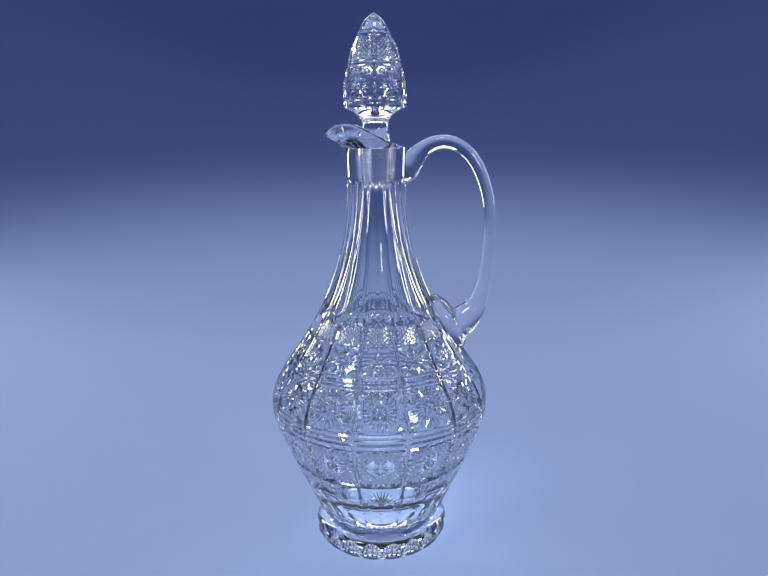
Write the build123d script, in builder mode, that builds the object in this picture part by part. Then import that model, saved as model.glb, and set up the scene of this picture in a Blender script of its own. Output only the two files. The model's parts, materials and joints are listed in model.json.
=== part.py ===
"""Cut crystal wine decanter: a blown vessel with a poured lip, an applied foot and handle, and a loose ground stopper.

Millimetres, +Z up. The origin is the middle of the foot's resting face, the spout points to -X and the handle to +X.
"""

import math
import os

from build123d import *

# Foot
foot_radius = 45.5
foot_rest_radius = 41.5
foot_rim_height = 6.5
foot_height = 14.0
foot_windows = 20
foot_window_depth = 1.2
foot_window_radius = 22.0
foot_window_height = 6.0
foot_rest_slope = 0.5
foot_top_slope = 0.2

# Vessel outline, as radii and the heights they stand at
bowl_base_radius = 39.5
bowl_low_radius = 54.7
bowl_low_height = 48.0
bowl_middle_radius = 66.2
bowl_middle_height = 76.0
belly_radius = 71.8
belly_height = 100.0
shoulder_radius = 55.0
shoulder_height = 132.0
shoulder_top_radius = 37.8
shoulder_top_height = 160.0
neck_root_radius = 21.6
neck_root_height = 205.0
neck_radius = 18.6
neck_waist_height = 232.0
neck_top_radius = 18.8
neck_top_height = 257.0

# Vessel walls
bowl_wall = 5.0
shoulder_wall = 5.2
neck_wall = 7.2
floor_thickness = 10.0
floor_flat_radius = 24.0

# Poured lip
lip_half_width = 19.6
lip_reach = 33.5
lip_throat_height = 261.0
lip_throat_reach = 20.4
lip_turn_height = 265.0
lip_turn_reach = 23.6
lip_underside_height = 268.6
lip_underside_reach = 30.0
lip_top_height = 276.6
lip_cheek_reach = 0.6
lip_cheek_width = 0.8
lip_cheek_pinch = 0.2
lip_back_height = 262.5
lip_middle_height = 270.2
lip_crest_height = 276.5
lip_crest_reach = 17.5
lip_tip_height = 271.6
mouth_half_width = 13.6
mouth_reach = 27.4
mouth_top_reach = 30.6
mouth_turn_half_width = 11.2
mouth_turn_reach = 14.2
mouth_step = 0.8

# Ground seat and stopper, as radii and the heights they stand at
plug_bottom_radius = 7.4
plug_bottom_height = 238.0
plug_top_radius = 8.7
plug_top_height = 262.0
plug_chamfer = 1.6
ground_gap = 0.1
seat_run_out = 2.0
collar_radius = 9.6
collar_height = 268.0
waist_radius = 8.0
waist_height = 274.0
head_root_radius = 9.4
head_root_height = 279.5
head_radius = 19.4
head_base_height = 285.5
head_side_height = 293.0
head_middle_radius = 17.3
head_middle_height = 307.0
head_upper_radius = 14.2
head_upper_height = 319.0
head_crown_radius = 9.0
head_crown_height = 330.0
stopper_height = 340.0
head_base_rounding = 1.0

# Cut decoration
neck_flutes = 20
flute_depth = 0.25
flute_bottom_height = 163.0
flute_top_height = 241.0
flute_run_out = 5.0
bowl_panels = 14
mitre_width = 2.4
mitre_depth = 0.9
ring_width = 2.0
ring_depth = 0.65
pattern_bottom_height = 45.0
pattern_top_height = 145.0
bowl_ring_heights = (pattern_bottom_height, 63.0, 92.0, 131.0, pattern_top_height)
head_panels = 6
head_mitre_width = 2.2
head_mitre_depth = 0.8
head_ring_heights = (296.0, 311.0, 327.0)

# Handle, as stations along its middle line: reach from the axis, height, half width in its plane, half width across it
handle_stations = (
    (15.0, 249.0, 11.0, 7.0),
    (21.5, 253.0, 8.4, 6.0),
    (29.0, 260.2, 5.2, 5.0),
    (41.5, 265.0, 4.4, 4.6),
    (55.5, 260.0, 4.2, 4.5),
    (66.0, 245.0, 4.0, 4.5),
    (72.0, 220.0, 3.9, 4.5),
    (71.2, 195.0, 4.2, 4.7),
    (67.0, 174.0, 5.2, 5.4),
    (60.0, 160.5, 7.0, 6.6),
    (49.0, 150.5, 10.0, 8.2),
)

# The handle's foot, a pad of glass pressed on the shoulder
pad_top_height = 165.0
pad_bottom_height = 131.6
pad_half_thickness = 8.6
pad_half_width = 11.0


def outer_curve():
    """The vessel's outer meridian, from the top of the foot to the top of the neck."""
    return Spline(
        (bowl_base_radius, foot_height),
        (bowl_low_radius, bowl_low_height),
        (bowl_middle_radius, bowl_middle_height),
        (belly_radius, belly_height),
        (shoulder_radius, shoulder_height),
        (shoulder_top_radius, shoulder_top_height),
        (neck_root_radius, neck_root_height),
        (neck_radius, neck_waist_height),
        (neck_top_radius, neck_top_height),
    )


def head_curve():
    """The stopper head's outer meridian, from its shoulder to its tip."""
    return Spline(
        (head_radius, head_side_height),
        (head_middle_radius, head_middle_height),
        (head_upper_radius, head_upper_height),
        (head_crown_radius, head_crown_height),
        (0, stopper_height),
        tangents=[(0, 1), (-1, 0)],
    )


with BuildLine(Plane.XZ) as vessel_line:
    outer_curve()
vessel_meridian = vessel_line.line.edges()[0]

with BuildLine(Plane.XZ) as head_line:
    head_curve()
head_meridian = head_line.line.edges()[0]


def share_at(meridian, height):
    """How far along a rising meridian a height lies, from 0 to 1."""
    low, high = 0.0, 1.0
    for _ in range(40):
        middle = (low + high) / 2
        if meridian.position_at(middle).Z < height:
            low = middle
        else:
            high = middle
    return low


def radius_at(meridian, height):
    """The radius of a meridian at a height."""
    return meridian.position_at(share_at(meridian, height)).X


def seat_radius_at(height):
    """The radius of the ground seat at a height: the plug's cone and the ground gap."""
    share = (height - plug_bottom_height) / (plug_top_height - plug_bottom_height)
    return plug_bottom_radius + share * (plug_top_radius - plug_bottom_radius) + ground_gap


def groove_profile(plane, width, depth):
    """A V to be cut along a surface: its point lies depth under the plane's origin, its mouth as far above it."""
    with BuildSketch(plane) as profile:
        with BuildLine():
            Polyline((-width, -depth), (width, -depth), (0, depth), close=True)
        make_face()
    return profile.sketch


def mitre(meridian, bottom, top, width, depth):
    """An upright V groove along a meridian between two heights."""
    path = meridian.trim(share_at(meridian, bottom), share_at(meridian, top))
    start = Plane(origin=path @ 0, x_dir=(0, 1, 0), z_dir=path % 0)
    with BuildPart() as cutter:
        add(groove_profile(start, width, depth))
        sweep(path=path)
    return cutter.part


def ring(meridian, height, width, depth):
    """A level V groove round the body at a height."""
    share = share_at(meridian, height)
    across = Plane(origin=meridian @ share, x_dir=meridian % share, z_dir=(0, -1, 0))
    with BuildPart() as cutter:
        add(groove_profile(across, width, -depth))
        revolve(axis=Axis.Z)
    return cutter.part


def lip_section(height, half_width, reach):
    """A level section of the lip: round at the back and drawn out to the spout's tip at -X."""
    cheek_reach = lip_cheek_reach * reach
    cheek_width = lip_cheek_width * half_width - lip_cheek_pinch * (reach - half_width)
    with BuildSketch(Plane.XY.offset(height)) as section:
        with BuildLine():
            ThreePointArc((0, -half_width), (half_width, 0), (0, half_width))
            if reach > half_width:
                Spline(
                    (0, half_width),
                    (-cheek_reach, cheek_width),
                    (-reach, 0),
                    (-cheek_reach, -cheek_width),
                    (0, -half_width),
                    tangents=[(-1, 0), (1, 0)],
                )
            else:
                ThreePointArc((0, half_width), (-half_width, 0), (0, -half_width))
        make_face()
    return section.sketch


# Foot: a thick polished disc, its rim cut with a ring of hollow windows
with BuildPart() as foot_window:
    with Locations((foot_radius - foot_window_depth + foot_window_radius, 0, foot_window_height)):
        Sphere(foot_window_radius)

with BuildPart() as foot:
    with BuildSketch(Plane.XZ):
        with BuildLine():
            Line((0, 0), (foot_rest_radius, 0))
            Spline(
                (foot_rest_radius, 0),
                (foot_radius, foot_rim_height),
                (bowl_base_radius, foot_height),
                tangents=[(1, foot_rest_slope), (-1, foot_top_slope)],
            )
            Line((bowl_base_radius, foot_height), (0, foot_height))
            Line((0, foot_height), (0, 0))
        make_face()
    revolve(axis=Axis.Z)
    with PolarLocations(0, foot_windows, start_angle=180 / foot_windows):
        add(foot_window.part, mode=Mode.SUBTRACT)
foot.part.label = "foot"

# Vessel blank: the meridian turned about the axis, with the lip drawn out above it
with BuildPart() as vessel_blank:
    with BuildSketch(Plane.XZ):
        with BuildLine():
            outer_curve()
            Line((neck_top_radius, neck_top_height), (0, neck_top_height))
            Line((0, neck_top_height), (0, foot_height))
            Line((0, foot_height), (bowl_base_radius, foot_height))
        make_face()
    revolve(axis=Axis.Z)
    add(lip_section(neck_top_height, neck_top_radius, neck_top_radius))
    add(lip_section(lip_throat_height, neck_top_radius, lip_throat_reach))
    add(lip_section(lip_turn_height, neck_top_radius, lip_turn_reach))
    add(lip_section(lip_underside_height, lip_half_width, lip_underside_reach))
    add(lip_section(lip_tip_height, lip_half_width, lip_reach))
    add(lip_section(lip_top_height, lip_half_width, lip_reach))
    loft()

# Everything above the lip's rim line, which rises from the handle to a crest and dips at the spout's tip
with BuildPart() as above_rim:
    with BuildSketch(Plane.XZ):
        with BuildLine():
            Spline(
                (lip_half_width + collar_radius, lip_back_height),
                (lip_half_width, lip_back_height),
                (0, lip_middle_height),
                (-lip_crest_reach, lip_crest_height),
                (-lip_reach, lip_tip_height),
                (-lip_reach - collar_radius, lip_back_height),
            )
            Polyline(
                (-lip_reach - collar_radius, lip_back_height),
                (-lip_reach - collar_radius, stopper_height),
                (lip_half_width + collar_radius, stopper_height),
                (lip_half_width + collar_radius, lip_back_height),
            )
        make_face()
    extrude(amount=lip_reach, both=True)

# Hollow of the vessel: the bowl, the throat, the ground seat and the open mouth of the lip
floor_height = foot_height + floor_thickness
seat_bottom_height = plug_bottom_height - seat_run_out
with BuildPart() as hollow:
    with BuildSketch(Plane.XZ):
        with BuildLine():
            Line((0, floor_height), (floor_flat_radius, floor_height))
            Spline(
                (floor_flat_radius, floor_height),
                (bowl_low_radius - bowl_wall, bowl_low_height),
                (bowl_middle_radius - bowl_wall, bowl_middle_height),
                (belly_radius - bowl_wall, belly_height),
                (shoulder_radius - shoulder_wall, shoulder_height),
                (shoulder_top_radius - shoulder_wall, shoulder_top_height),
                (neck_root_radius - neck_wall, neck_root_height),
                (seat_radius_at(seat_bottom_height), seat_bottom_height),
                tangents=[(1, 0), (0, 1)],
            )
            Line(
                (seat_radius_at(seat_bottom_height), seat_bottom_height),
                (seat_radius_at(plug_top_height), plug_top_height),
            )
            Line((seat_radius_at(plug_top_height), plug_top_height), (0, plug_top_height))
            Line((0, plug_top_height), (0, floor_height))
        make_face()
    revolve(axis=Axis.Z)
    mouth_root_radius = seat_radius_at(plug_top_height) + mouth_step
    add(lip_section(plug_top_height, mouth_root_radius, mouth_root_radius))
    add(lip_section(collar_height, mouth_turn_half_width, mouth_turn_reach))
    add(lip_section(lip_tip_height, mouth_half_width, mouth_reach))
    add(lip_section(lip_top_height, mouth_half_width, mouth_top_reach))
    loft()

# One flat of the neck, as the glass outside it: its foot and head run out through the surface
flat_share = math.cos(math.pi / neck_flutes)
with BuildPart() as neck_flat:
    with BuildSketch(Plane.XZ):
        with BuildLine():
            flat_line = Spline(
                (radius_at(vessel_meridian, flute_bottom_height - flute_run_out) + flute_depth,
                 flute_bottom_height - flute_run_out),
                (radius_at(vessel_meridian, flute_bottom_height + flute_run_out) * flat_share - flute_depth,
                 flute_bottom_height + flute_run_out),
                (neck_root_radius * flat_share - flute_depth, neck_root_height),
                (neck_radius * flat_share - flute_depth, flute_top_height - flute_run_out),
                (neck_top_radius + flute_depth, neck_top_height),
            )
            Line((neck_top_radius + flute_depth, neck_top_height), (bowl_low_radius, neck_top_height))
            Line((bowl_low_radius, neck_top_height), (bowl_low_radius, flute_bottom_height - flute_run_out))
            Line((bowl_low_radius, flute_bottom_height - flute_run_out), flat_line @ 0)
        make_face()
    extrude(amount=neck_root_radius, both=True)

# Mitres between the bowl's panels, apart from the one that the handle's foot stands over, and rings across them
panel_mitre = mitre(vessel_meridian, pattern_bottom_height, pattern_top_height, mitre_width / 2, mitre_depth)
bowl_mitres = [panel_mitre.rotate(Axis.Z, panel * 360 / bowl_panels) for panel in range(1, bowl_panels)]
bowl_rings = [ring(vessel_meridian, height, ring_width / 2, ring_depth) for height in bowl_ring_heights]

# Vessel: the blank with its rim trimmed, hollowed and cut
with BuildPart() as vessel:
    add(vessel_blank.part)
    add(above_rim.part, mode=Mode.SUBTRACT)
    add(hollow.part, mode=Mode.SUBTRACT)
    with PolarLocations(0, neck_flutes, start_angle=180 / neck_flutes):
        add(neck_flat.part, mode=Mode.SUBTRACT)
    add(bowl_mitres + bowl_rings, mode=Mode.SUBTRACT)
vessel.part.label = "vessel"

# Handle: a round bar bent from the neck to the shoulder, ending in a pad, both pressed on the finished vessel
with BuildLine(Plane.XZ) as handle_line:
    Spline([(reach, height) for reach, height, *_ in handle_stations])
handle_path = handle_line.line.edges()[0]

pad_top_radius = radius_at(vessel_meridian, pad_top_height)
pad_bottom_radius = radius_at(vessel_meridian, pad_bottom_height)
pad_rise = pad_top_height - pad_bottom_height
pad_run = pad_bottom_radius - pad_top_radius
pad_half_length = math.hypot(pad_rise, pad_run) / 2
pad_plane = Plane(
    origin=((pad_top_radius + pad_bottom_radius) / 2, 0, (pad_top_height + pad_bottom_height) / 2),
    x_dir=(-pad_run, 0, pad_rise),
    z_dir=(pad_rise, 0, pad_run),
)
with BuildPart() as pad:
    Sphere(1)
    scale(by=(pad_half_length, pad_half_width, pad_half_thickness))

with BuildPart() as handle:
    for reach, height, half_depth, half_width in handle_stations:
        share = handle_path.param_at_point((reach, 0, height))
        plane = Plane(origin=(reach, 0, height), x_dir=(0, 1, 0), z_dir=handle_path % share)
        with BuildSketch(plane):
            Ellipse(half_width, half_depth)
    loft()
    add(pad_plane * pad.part)
    add(vessel_blank.part, mode=Mode.SUBTRACT)
handle.part.label = "handle"

# Stopper: a solid head on a waist and a ground plug, the head cut with mitres and rings
head_mitre = mitre(head_meridian, head_side_height, head_ring_heights[-1], head_mitre_width / 2, head_mitre_depth)
head_rings = [ring(head_meridian, height, head_mitre_width / 2, head_mitre_depth) for height in head_ring_heights]

with BuildPart() as stopper:
    with BuildSketch(Plane.XZ):
        with BuildLine():
            Polyline(
                (0, plug_bottom_height),
                (plug_bottom_radius - plug_chamfer, plug_bottom_height),
                (plug_bottom_radius, plug_bottom_height + plug_chamfer),
                (plug_top_radius, plug_top_height),
                (collar_radius, collar_height),
            )
            Spline(
                (collar_radius, collar_height),
                (waist_radius, waist_height),
                (head_root_radius, head_root_height),
                (head_radius - head_base_rounding, head_base_height),
            )
            Line(
                (head_radius - head_base_rounding, head_base_height),
                (head_radius, head_base_height + head_base_rounding),
            )
            Line((head_radius, head_base_height + head_base_rounding), (head_radius, head_side_height))
            head_curve()
            Line((0, stopper_height), (0, plug_bottom_height))
        make_face()
    revolve(axis=Axis.Z)
    with PolarLocations(0, head_panels, start_angle=-90):
        add(head_mitre, mode=Mode.SUBTRACT)
    add(head_rings, mode=Mode.SUBTRACT)
stopper.part.label = "stopper"

os.makedirs("parts", exist_ok=True)
export_step(vessel.part, "parts/vessel.step")
export_step(foot.part, "parts/foot.step")
export_step(handle.part, "parts/handle.step")
export_step(stopper.part, "parts/stopper.step")

print("capacity to the plug, ml:", round(hollow.part.volume / 1000))
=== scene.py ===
"""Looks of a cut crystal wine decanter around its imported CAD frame, in metres and the frame's own axes."""

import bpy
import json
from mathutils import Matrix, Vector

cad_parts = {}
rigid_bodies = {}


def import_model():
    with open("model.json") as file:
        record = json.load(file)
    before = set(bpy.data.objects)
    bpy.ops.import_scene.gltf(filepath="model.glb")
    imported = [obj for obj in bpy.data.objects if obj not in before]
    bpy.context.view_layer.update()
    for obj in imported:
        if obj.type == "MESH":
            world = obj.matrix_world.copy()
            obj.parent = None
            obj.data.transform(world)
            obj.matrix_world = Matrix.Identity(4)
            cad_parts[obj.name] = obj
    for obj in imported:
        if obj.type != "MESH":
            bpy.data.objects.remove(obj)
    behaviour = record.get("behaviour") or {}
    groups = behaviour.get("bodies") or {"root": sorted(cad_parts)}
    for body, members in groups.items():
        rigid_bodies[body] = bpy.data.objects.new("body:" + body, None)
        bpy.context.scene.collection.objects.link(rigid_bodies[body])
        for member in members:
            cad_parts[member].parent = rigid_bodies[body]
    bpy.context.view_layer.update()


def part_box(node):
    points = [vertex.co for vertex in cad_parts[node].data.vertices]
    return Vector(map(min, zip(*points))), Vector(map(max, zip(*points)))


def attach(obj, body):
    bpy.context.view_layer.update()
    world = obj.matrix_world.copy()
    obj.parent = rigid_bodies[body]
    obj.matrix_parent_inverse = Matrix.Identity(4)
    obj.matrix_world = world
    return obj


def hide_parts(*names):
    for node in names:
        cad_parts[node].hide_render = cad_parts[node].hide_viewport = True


bl_info = {
    "name": "Cut crystal decanter",
    "version": (1, 0, 0),
    "blender": (4, 5, 0),
    "location": "3D View > Sidebar > Decanter",
    "description": "Builds a cut crystal decanter with its foot, handle and ground stopper on a studio floor",
    "category": "Add Mesh",
}

import json
import math

import bmesh
import bpy
import numpy as np
from bpy.props import FloatProperty, FloatVectorProperty, PointerProperty
from mathutils import Matrix, Vector
from mathutils.geometry import delaunay_2d_cdt

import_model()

MM = 0.001
FOOT_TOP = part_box("foot")[1].z / MM

# Outlines, as (radius, height) in millimetres
BOWL_BASE_RADIUS = 39.5
NECK_TOP_HEIGHT = 257.0
VESSEL_OUTLINE = (
    (BOWL_BASE_RADIUS, FOOT_TOP),
    (54.7, 48.0),
    (66.2, 76.0),
    (71.8, 100.0),
    (55.0, 132.0),
    (37.8, 160.0),
    (21.6, 205.0),
    (18.6, 232.0),
    (18.8, NECK_TOP_HEIGHT),
)
SEAT_BOTTOM_HEIGHT = 236.0
SEAT_BOTTOM_RADIUS = 7.4
SEAT_TOP_HEIGHT = 262.0
SEAT_TOP_RADIUS = 8.8
SEAT_OUTLINE = (
    (SEAT_TOP_RADIUS, SEAT_TOP_HEIGHT),
    (SEAT_TOP_RADIUS - 0.7, 249.0),
    (SEAT_BOTTOM_RADIUS, SEAT_BOTTOM_HEIGHT),
)
FLOOR_HEIGHT = 24.0
FLOOR_RADII = (16.0, 8.0)
HOLLOW_ROWS = 56
HOLLOW_OUTLINE = (
    (24.0, FLOOR_HEIGHT),
    (49.7, 48.0),
    (61.2, 76.0),
    (66.8, 100.0),
    (49.8, 132.0),
    (32.6, 160.0),
    (14.4, 205.0),
    (SEAT_BOTTOM_RADIUS, SEAT_BOTTOM_HEIGHT),
)

# Poured lip, as (height, half width, reach) in millimetres, outside and inside
LIP_OUTSIDE = (
    (NECK_TOP_HEIGHT, 18.8, 18.8),
    (261.0, 18.9, 20.4),
    (265.0, 19.2, 23.6),
    (268.6, 19.5, 30.0),
    (271.6, 19.6, 33.3),
    (276.6, 19.6, 33.4),
)
LIP_INSIDE = (
    (SEAT_TOP_HEIGHT, 9.6, 9.6),
    (265.0, 11.4, 17.0),
    (268.0, 13.6, 24.6),
    (270.0, 14.6, 28.4),
    (271.6, 15.2, 30.0),
    (276.6, 15.8, 31.0),
)
LIP_SHARPNESS = 6.0
LIP_SHARES = (0.12, 0.25, 0.38, 0.5, 0.6, 0.7, 0.79, 0.87, 0.94, 1.0)
MOUTH_SHARES = (0.0, 0.12, 0.25, 0.4, 0.55, 0.7, 0.85, 1.0)

# Rim line, as (x, height) in millimetres, and the passes that find it at each angle from a first guess
RIM_LINE = ((-33.4, 271.4), (-28.0, 274.6), (-17.5, 276.4), (0.0, 270.1), (10.0, 265.9), (19.6, 262.5))
RIM_SAMPLES = 200
RIM_ROUNDING = 1.3
RIM_STEPS = 9
RIM_GUESS = 268.0
RIM_PASSES = 30

# Cuts of the bowl, in millimetres
COLUMNS = 140
PANELS = 14
MITRE_WIDTH = 2.4
MITRE_DEPTH = 1.0
RING_WIDTH = 1.9
RING_DEPTH = 0.7
STAR_DEPTH = 1.0
HATCH_PITCH = 1.85
HATCH_DEPTH = 1.05
FINE_HATCH = (1.5, 0.85)
TILE_BOTTOM = 42.0
TILE_TOP = 160.0
BASE_COLLAR = 18.0
NECK_COLLAR = (9.0, 4.0, 0.0)

# Plain glass between the cuts, in millimetres
PANEL_MARGIN = 0.5
LEAF_MARGIN = 0.6
FAN_MARGIN = 0.4
BAND_GAP = RING_WIDTH / 2 + 0.45
SHOULDER_GAP = RING_WIDTH / 2 + 0.4
TIP_REACH = 0.1
HATCH_END = 0.5
HATCH_CLEARANCE = 0.7
FAN_CLEARANCE = 0.9

# Stars: rays, share of the set depth and hub, with the reach before them where no band gives it
FAN_RAYS = 11
FAN_HUB = 2.2
FAN_START = 0.06 * math.pi
FAN_SWEEP = 0.88 * math.pi
BUTTON = (5.6, 12, 1.0, 1.3)
STAR = dict(gap=BAND_GAP, petals=(24, 1.0, 4.4), heart=(4.1, 10, 0.5, 0.7), disc=4.4, clearance=0.7)
ROSETTE = dict(gap=SHOULDER_GAP, petals=(14, 0.9, 2.3), heart=(2.0, 6, 0.5, 0.4), disc=2.2, clearance=0.6)
RIDGE_SHARE = 0.42

# Palm of flutes under the handle's pad, in millimetres and in shares of the palm's length
PALM_ROOT = 149.0
PALM_MIDDLE = 118.0
PALM_END = 1.4
PALM_MITRE_END = 1.2
PALM_HATCH_START = 2.0
PALM_FLUTES = 9
PALM_SPREAD = math.radians(64)
PALM_WIDTH = 0.62
PALM_CURL = 0.3
PALM_DROOP = 0.5
PALM_SHARES = (0.26, 0.45, 0.65, 0.85)
PALM_DEPTHS = (0.35, 1.1, 1.4, 1.1)
PALM_RIDGE_END = 0.95
PALM_TOP = 0.1
PALM_CLEARANCE = 0.1
PALM_CLEARANCE_GROWTH = 0.12
PAD_CLEARANCE = 13.0
PAD_LOW = 128.0

# Steps and rounding of the meshes, in millimetres unless they are counts, digits or angles
MERIDIAN_STEPS = 1500
STATION_STEP = 4.0
STATION_DIGITS = 3
ANGLE_DIGITS = 5
ALONG_DIGITS = 2
SIZE_DIGITS = 4
BOWL_UNIT = 60.0
BOWL_FILL = (2.6, 0.9)
BORDER_REACH = 1e-4
SHORTEST_SQUARE = 1e-9
TRIANGLES_WITH_HULL = 0
TRIANGLE_ROUNDING = 1e-5
MERGE_DISTANCE = 0.01
CUT_CREASE = math.radians(14)
FULL_TURN = 2 * math.pi

# How much of the wheel's grey a kind of cut keeps, and how deep a face lies on average to count as cut
HATCH_GREY = 1.0
HUB_GREY = 0.7
FACET_GREY = 0.4
FACET_LEVEL = 0.1


def decanter_settings():
    """The scene's decanter settings."""
    return bpy.context.scene.decanter


def size(name):
    """One of the decanter's sizes from the scene's settings, in millimetres."""
    return round(getattr(decanter_settings(), name) / MM, SIZE_DIGITS)


def spline(points, count):
    """A smooth curve of count points through the given ones, by natural cubics over the chord length."""
    points = np.array(points, float)
    knots = np.concatenate(([0.0], np.cumsum(np.linalg.norm(np.diff(points, axis=0), axis=1))))
    given = len(points)
    step = np.diff(knots)
    matrix = np.eye(given)
    right = np.zeros_like(points)
    for i in range(1, given - 1):
        matrix[i, i - 1:i + 2] = step[i - 1], 2 * (step[i - 1] + step[i]), step[i]
        right[i] = 6 * ((points[i + 1] - points[i]) / step[i] - (points[i] - points[i - 1]) / step[i - 1])
    second = np.linalg.solve(matrix, right)
    at = np.linspace(0, knots[-1], count)
    i = np.clip(np.searchsorted(knots, at) - 1, 0, given - 2)
    h = step[i][:, None]
    a = (knots[i + 1] - at)[:, None]
    b = (at - knots[i])[:, None]
    bend = (second[i] * a ** 3 + second[i + 1] * b ** 3) / (6 * h)
    return bend + (points[i] / h - second[i] * h / 6) * a + (points[i + 1] / h - second[i + 1] * h / 6) * b


class Meridian:
    """The outline of a turned body, read by the distance along it."""

    def __init__(self, points):
        self.points = spline(points, MERIDIAN_STEPS)
        steps = np.linalg.norm(np.diff(self.points, axis=0), axis=1)
        self.along = np.concatenate(([0.0], np.cumsum(steps)))
        slope = np.gradient(self.points, self.along, axis=0)
        self.outward = np.stack((slope[:, 1], -slope[:, 0]), axis=1)
        self.outward /= np.linalg.norm(self.outward, axis=1)[:, None]

    def at_height(self, height):
        """The distance along the outline where it first reaches a height."""
        return float(np.interp(height, self.points[:, 1], self.along))

    def radius(self, along):
        """The radius at a distance along the outline."""
        return float(np.interp(along, self.along, self.points[:, 0]))

    def place(self, angle, along, depth):
        """The point on the turned body at an angle and a distance, a depth under its surface."""
        r, z = (np.interp(along, self.along, self.points[:, axis])
                - depth * np.interp(along, self.along, self.outward[:, axis]) for axis in (0, 1))
        return np.stack(np.broadcast_arrays(r * np.cos(angle), r * np.sin(angle), z), axis=-1)


class CutTile:
    """A stretch of a turned body's wall, cut with V lines.

    Its points hold an angle, a distance along the meridian and a depth. For its triangles the wall is laid
    flat, each angle times a unit that is near the wall's radius.
    """

    def __init__(self, meridian, left, right, bottom, top, unit):
        self.meridian, self.left, self.right = meridian, left, right
        self.bottom, self.top, self.unit = bottom, top, unit
        self.points, self.lines, self.index = [], set(), {}
        self.ground, self.ground_discs = set(), []

    def point(self, angle, along, depth=0.0):
        """Adds a point, or finds the one that is there, and gives its number."""
        key = (round(angle, ANGLE_DIGITS), round(along, ALONG_DIGITS))
        if key not in self.index:
            self.index[key] = len(self.points)
            self.points.append((angle, along, depth))
        return self.index[key]

    def line(self, *numbers):
        """Joins points one after the other by crease lines."""
        for a, b in zip(numbers, numbers[1:]):
            if a != b:
                self.lines.add((min(a, b), max(a, b)))

    def frame(self, step):
        """The tile's level top and bottom edges, with points that the strips beside it share."""
        count = round((self.right - self.left) / step)
        for along in (self.bottom, self.top):
            self.line(*[self.point(self.left + k * step, along) for k in range(count + 1)])

    def mitre_edge(self, angle, side, along, width):
        """The angle of a mitre's edge line on one side."""
        return angle + side * width / 2 / self.meridian.radius(along)

    def mitre(self, angle, stations, rings, width, depth, sides=(-1, 1)):
        """An upright V between the first and last station, its edge lines open where the rings cross it."""
        centre = [self.point(angle, s, 0.0 if s in (stations[0], stations[-1]) else depth) for s in stations]
        self.line(*centre)
        for side in sides:
            edges = [self.point(self.mitre_edge(angle, side, s, width), s) for s in stations[1:-1]]
            self.line(centre[0], edges[0])
            self.line(edges[-1], centre[-1])
            for (low, a), (high, b) in zip(zip(stations[1:], edges), zip(stations[2:], edges[1:])):
                if not any(abs((low + high) / 2 - ring) < RING_WIDTH / 2 for ring in rings):
                    self.line(a, b)

    def ring(self, along, width, depth, left_mitre, right_mitre, mitre, step):
        """A level V between two mitres, ending on their flanks."""
        mitre_width, mitre_depth = mitre
        inset = mitre_width / 2 * (1 - depth / mitre_depth) / self.meridian.radius(along)
        inner = np.arange(left_mitre + step, right_mitre - step / 2, step)
        middle = [self.point(a, along, depth) for a in (left_mitre + inset, *inner, right_mitre - inset)]
        self.line(*middle)
        for offset in (-width / 2, width / 2):
            level = along + offset
            left_end = self.point(self.mitre_edge(left_mitre, 1, level, mitre_width), level)
            right_end = self.point(self.mitre_edge(right_mitre, -1, level, mitre_width), level)
            self.line(left_end, *[self.point(a, level) for a in inner], right_end)
            self.line(middle[0], left_end)
            self.line(middle[-1], right_end)

    def hatch(self, left, right, low, high, pitch, depth, keep=lambda angle, along: True):
        """A field of small pyramids between crossing V lines."""
        radius = self.meridian.radius((low + high) / 2)
        columns = max(2, 2 * round((right - left) * radius / pitch / 2))
        rows = max(2, round((high - low) / pitch))

        def spot(i, j):
            return left + (right - left) * i / columns, low + (high - low) * j / rows

        for i in range(1, columns):
            for j in range(1, rows):
                around = [spot(i - 1, j), spot(i, j - 1), spot(i + 1, j), spot(i, j + 1)]
                if (i + j) % 2 == 0 and all(keep(*place) for place in around):
                    corners = [self.point(*place, depth) for place in around]
                    self.line(*corners, corners[0])
                    self.ground.update((*corners, self.point(*spot(i, j))))

    def star(self, angle, along, reach, rays, depth, hub, start=0.0, sweep=FULL_TURN, narrow=1.0):
        """Kite-shaped V cuts round a centre, each sharing its ridges with the next, narrowed where asked."""
        radius = self.meridian.radius(along)
        wide = hub + (reach - hub) * RIDGE_SHARE
        turn = sweep / rays

        def spot(distance, direction, level):
            x = distance * math.cos(direction) * narrow
            y = distance * math.sin(direction)
            return self.point(angle + x / radius, along + y, level)

        ridges = [spot(wide, start + turn * k, 0.0) for k in range(rays if sweep == FULL_TURN else rays + 1)]
        for k in range(rays):
            direction = start + turn * (k + 0.5)
            inner = spot(hub, direction, 0.0)
            valley = spot(wide, direction, depth)
            outer = spot(reach, direction, 0.0)
            for between in (valley, ridges[k], ridges[(k + 1) % len(ridges)]):
                self.line(inner, between, outer)

    def fill(self, step, gap):
        """Plain points where the wall is uncut, so that the mesh follows its curve."""
        points = np.array(self.points)
        flat = points[:, :2] * (self.unit, 1.0)
        lines = np.array(sorted(self.lines))
        start, end = flat[lines[:, 0]], flat[lines[:, 1]]
        run = end - start
        length = np.maximum((run ** 2).sum(1), SHORTEST_SQUARE)
        columns = round((self.right - self.left) * self.unit / step)
        rows = round((self.top - self.bottom) / step)
        for i in range(1, columns):
            for j in range(1, rows):
                a = self.left + (self.right - self.left) * i / columns
                s = self.bottom + (self.top - self.bottom) * j / rows
                here = np.array((a * self.unit, s))
                if ((flat - here) ** 2).sum(1).min() < gap ** 2:
                    continue
                share = np.clip(((here - start) * run).sum(1) / length, 0, 1)
                near = start + run * share[:, None]
                if ((near - here) ** 2).sum(1).min() > gap ** 2:
                    self.point(a, s)

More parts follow.
